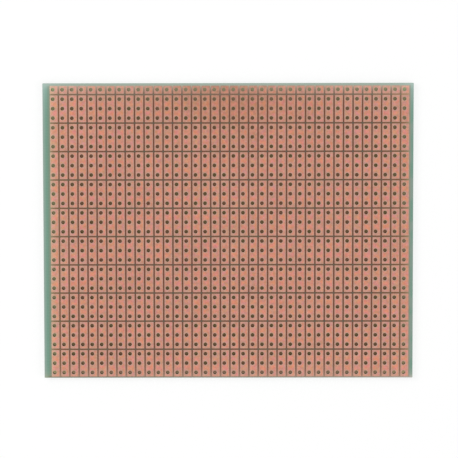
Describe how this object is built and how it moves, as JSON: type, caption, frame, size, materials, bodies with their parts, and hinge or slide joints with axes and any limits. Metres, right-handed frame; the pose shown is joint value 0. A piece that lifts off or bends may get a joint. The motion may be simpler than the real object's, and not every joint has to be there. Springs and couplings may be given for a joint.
{
  "type": "prototype board",
  "caption": "Flat rectangular circuit prototyping board: a glass-epoxy laminate drilled on a square grid, with copper pads on one face, each joining a short line of holes.",
  "frame": {"origin": "middle of the laminate's underside, with the board lying flat, copper side up", "axes": "+X across the columns of holes, +Y along them towards the row of single-hole pads, +Z out of the copper side"},
  "size_m": [0.0992, 0.0794, 0.0016],
  "materials": {
    "laminate": "translucent grey-green glass-epoxy sheet, satin, with sawn edges",
    "copper": "bare etched copper foil, matt brushed, salmon pink"
  },
  "bodies": {
    "root": {"laminate": "laminate", "pad_column_01": "copper", "pad_column_02": "copper", "pad_column_03": "copper", "pad_column_04": "copper", "pad_column_05": "copper", "pad_column_06": "copper", "pad_column_07": "copper", "pad_column_08": "copper", "pad_column_09": "copper", "pad_column_10": "copper", "pad_column_11": "copper", "pad_column_12": "copper", "pad_column_13": "copper", "pad_column_14": "copper", "pad_column_15": "copper", "pad_column_16": "copper", "pad_column_17": "copper", "pad_column_18": "copper", "pad_column_19": "copper", "pad_column_20": "copper", "pad_column_21": "copper", "pad_column_22": "copper", "pad_column_23": "copper", "pad_column_24": "copper", "pad_column_25": "copper", "pad_column_26": "copper", "pad_column_27": "copper", "pad_column_28": "copper", "pad_column_29": "copper", "pad_column_30": "copper", "pad_column_31": "copper", "pad_column_32": "copper", "pad_column_33": "copper", "pad_column_34": "copper", "pad_column_35": "copper", "pad_column_36": "copper", "pad_column_37": "copper", "pad_column_38": "copper"}
  },
  "joints": []
}
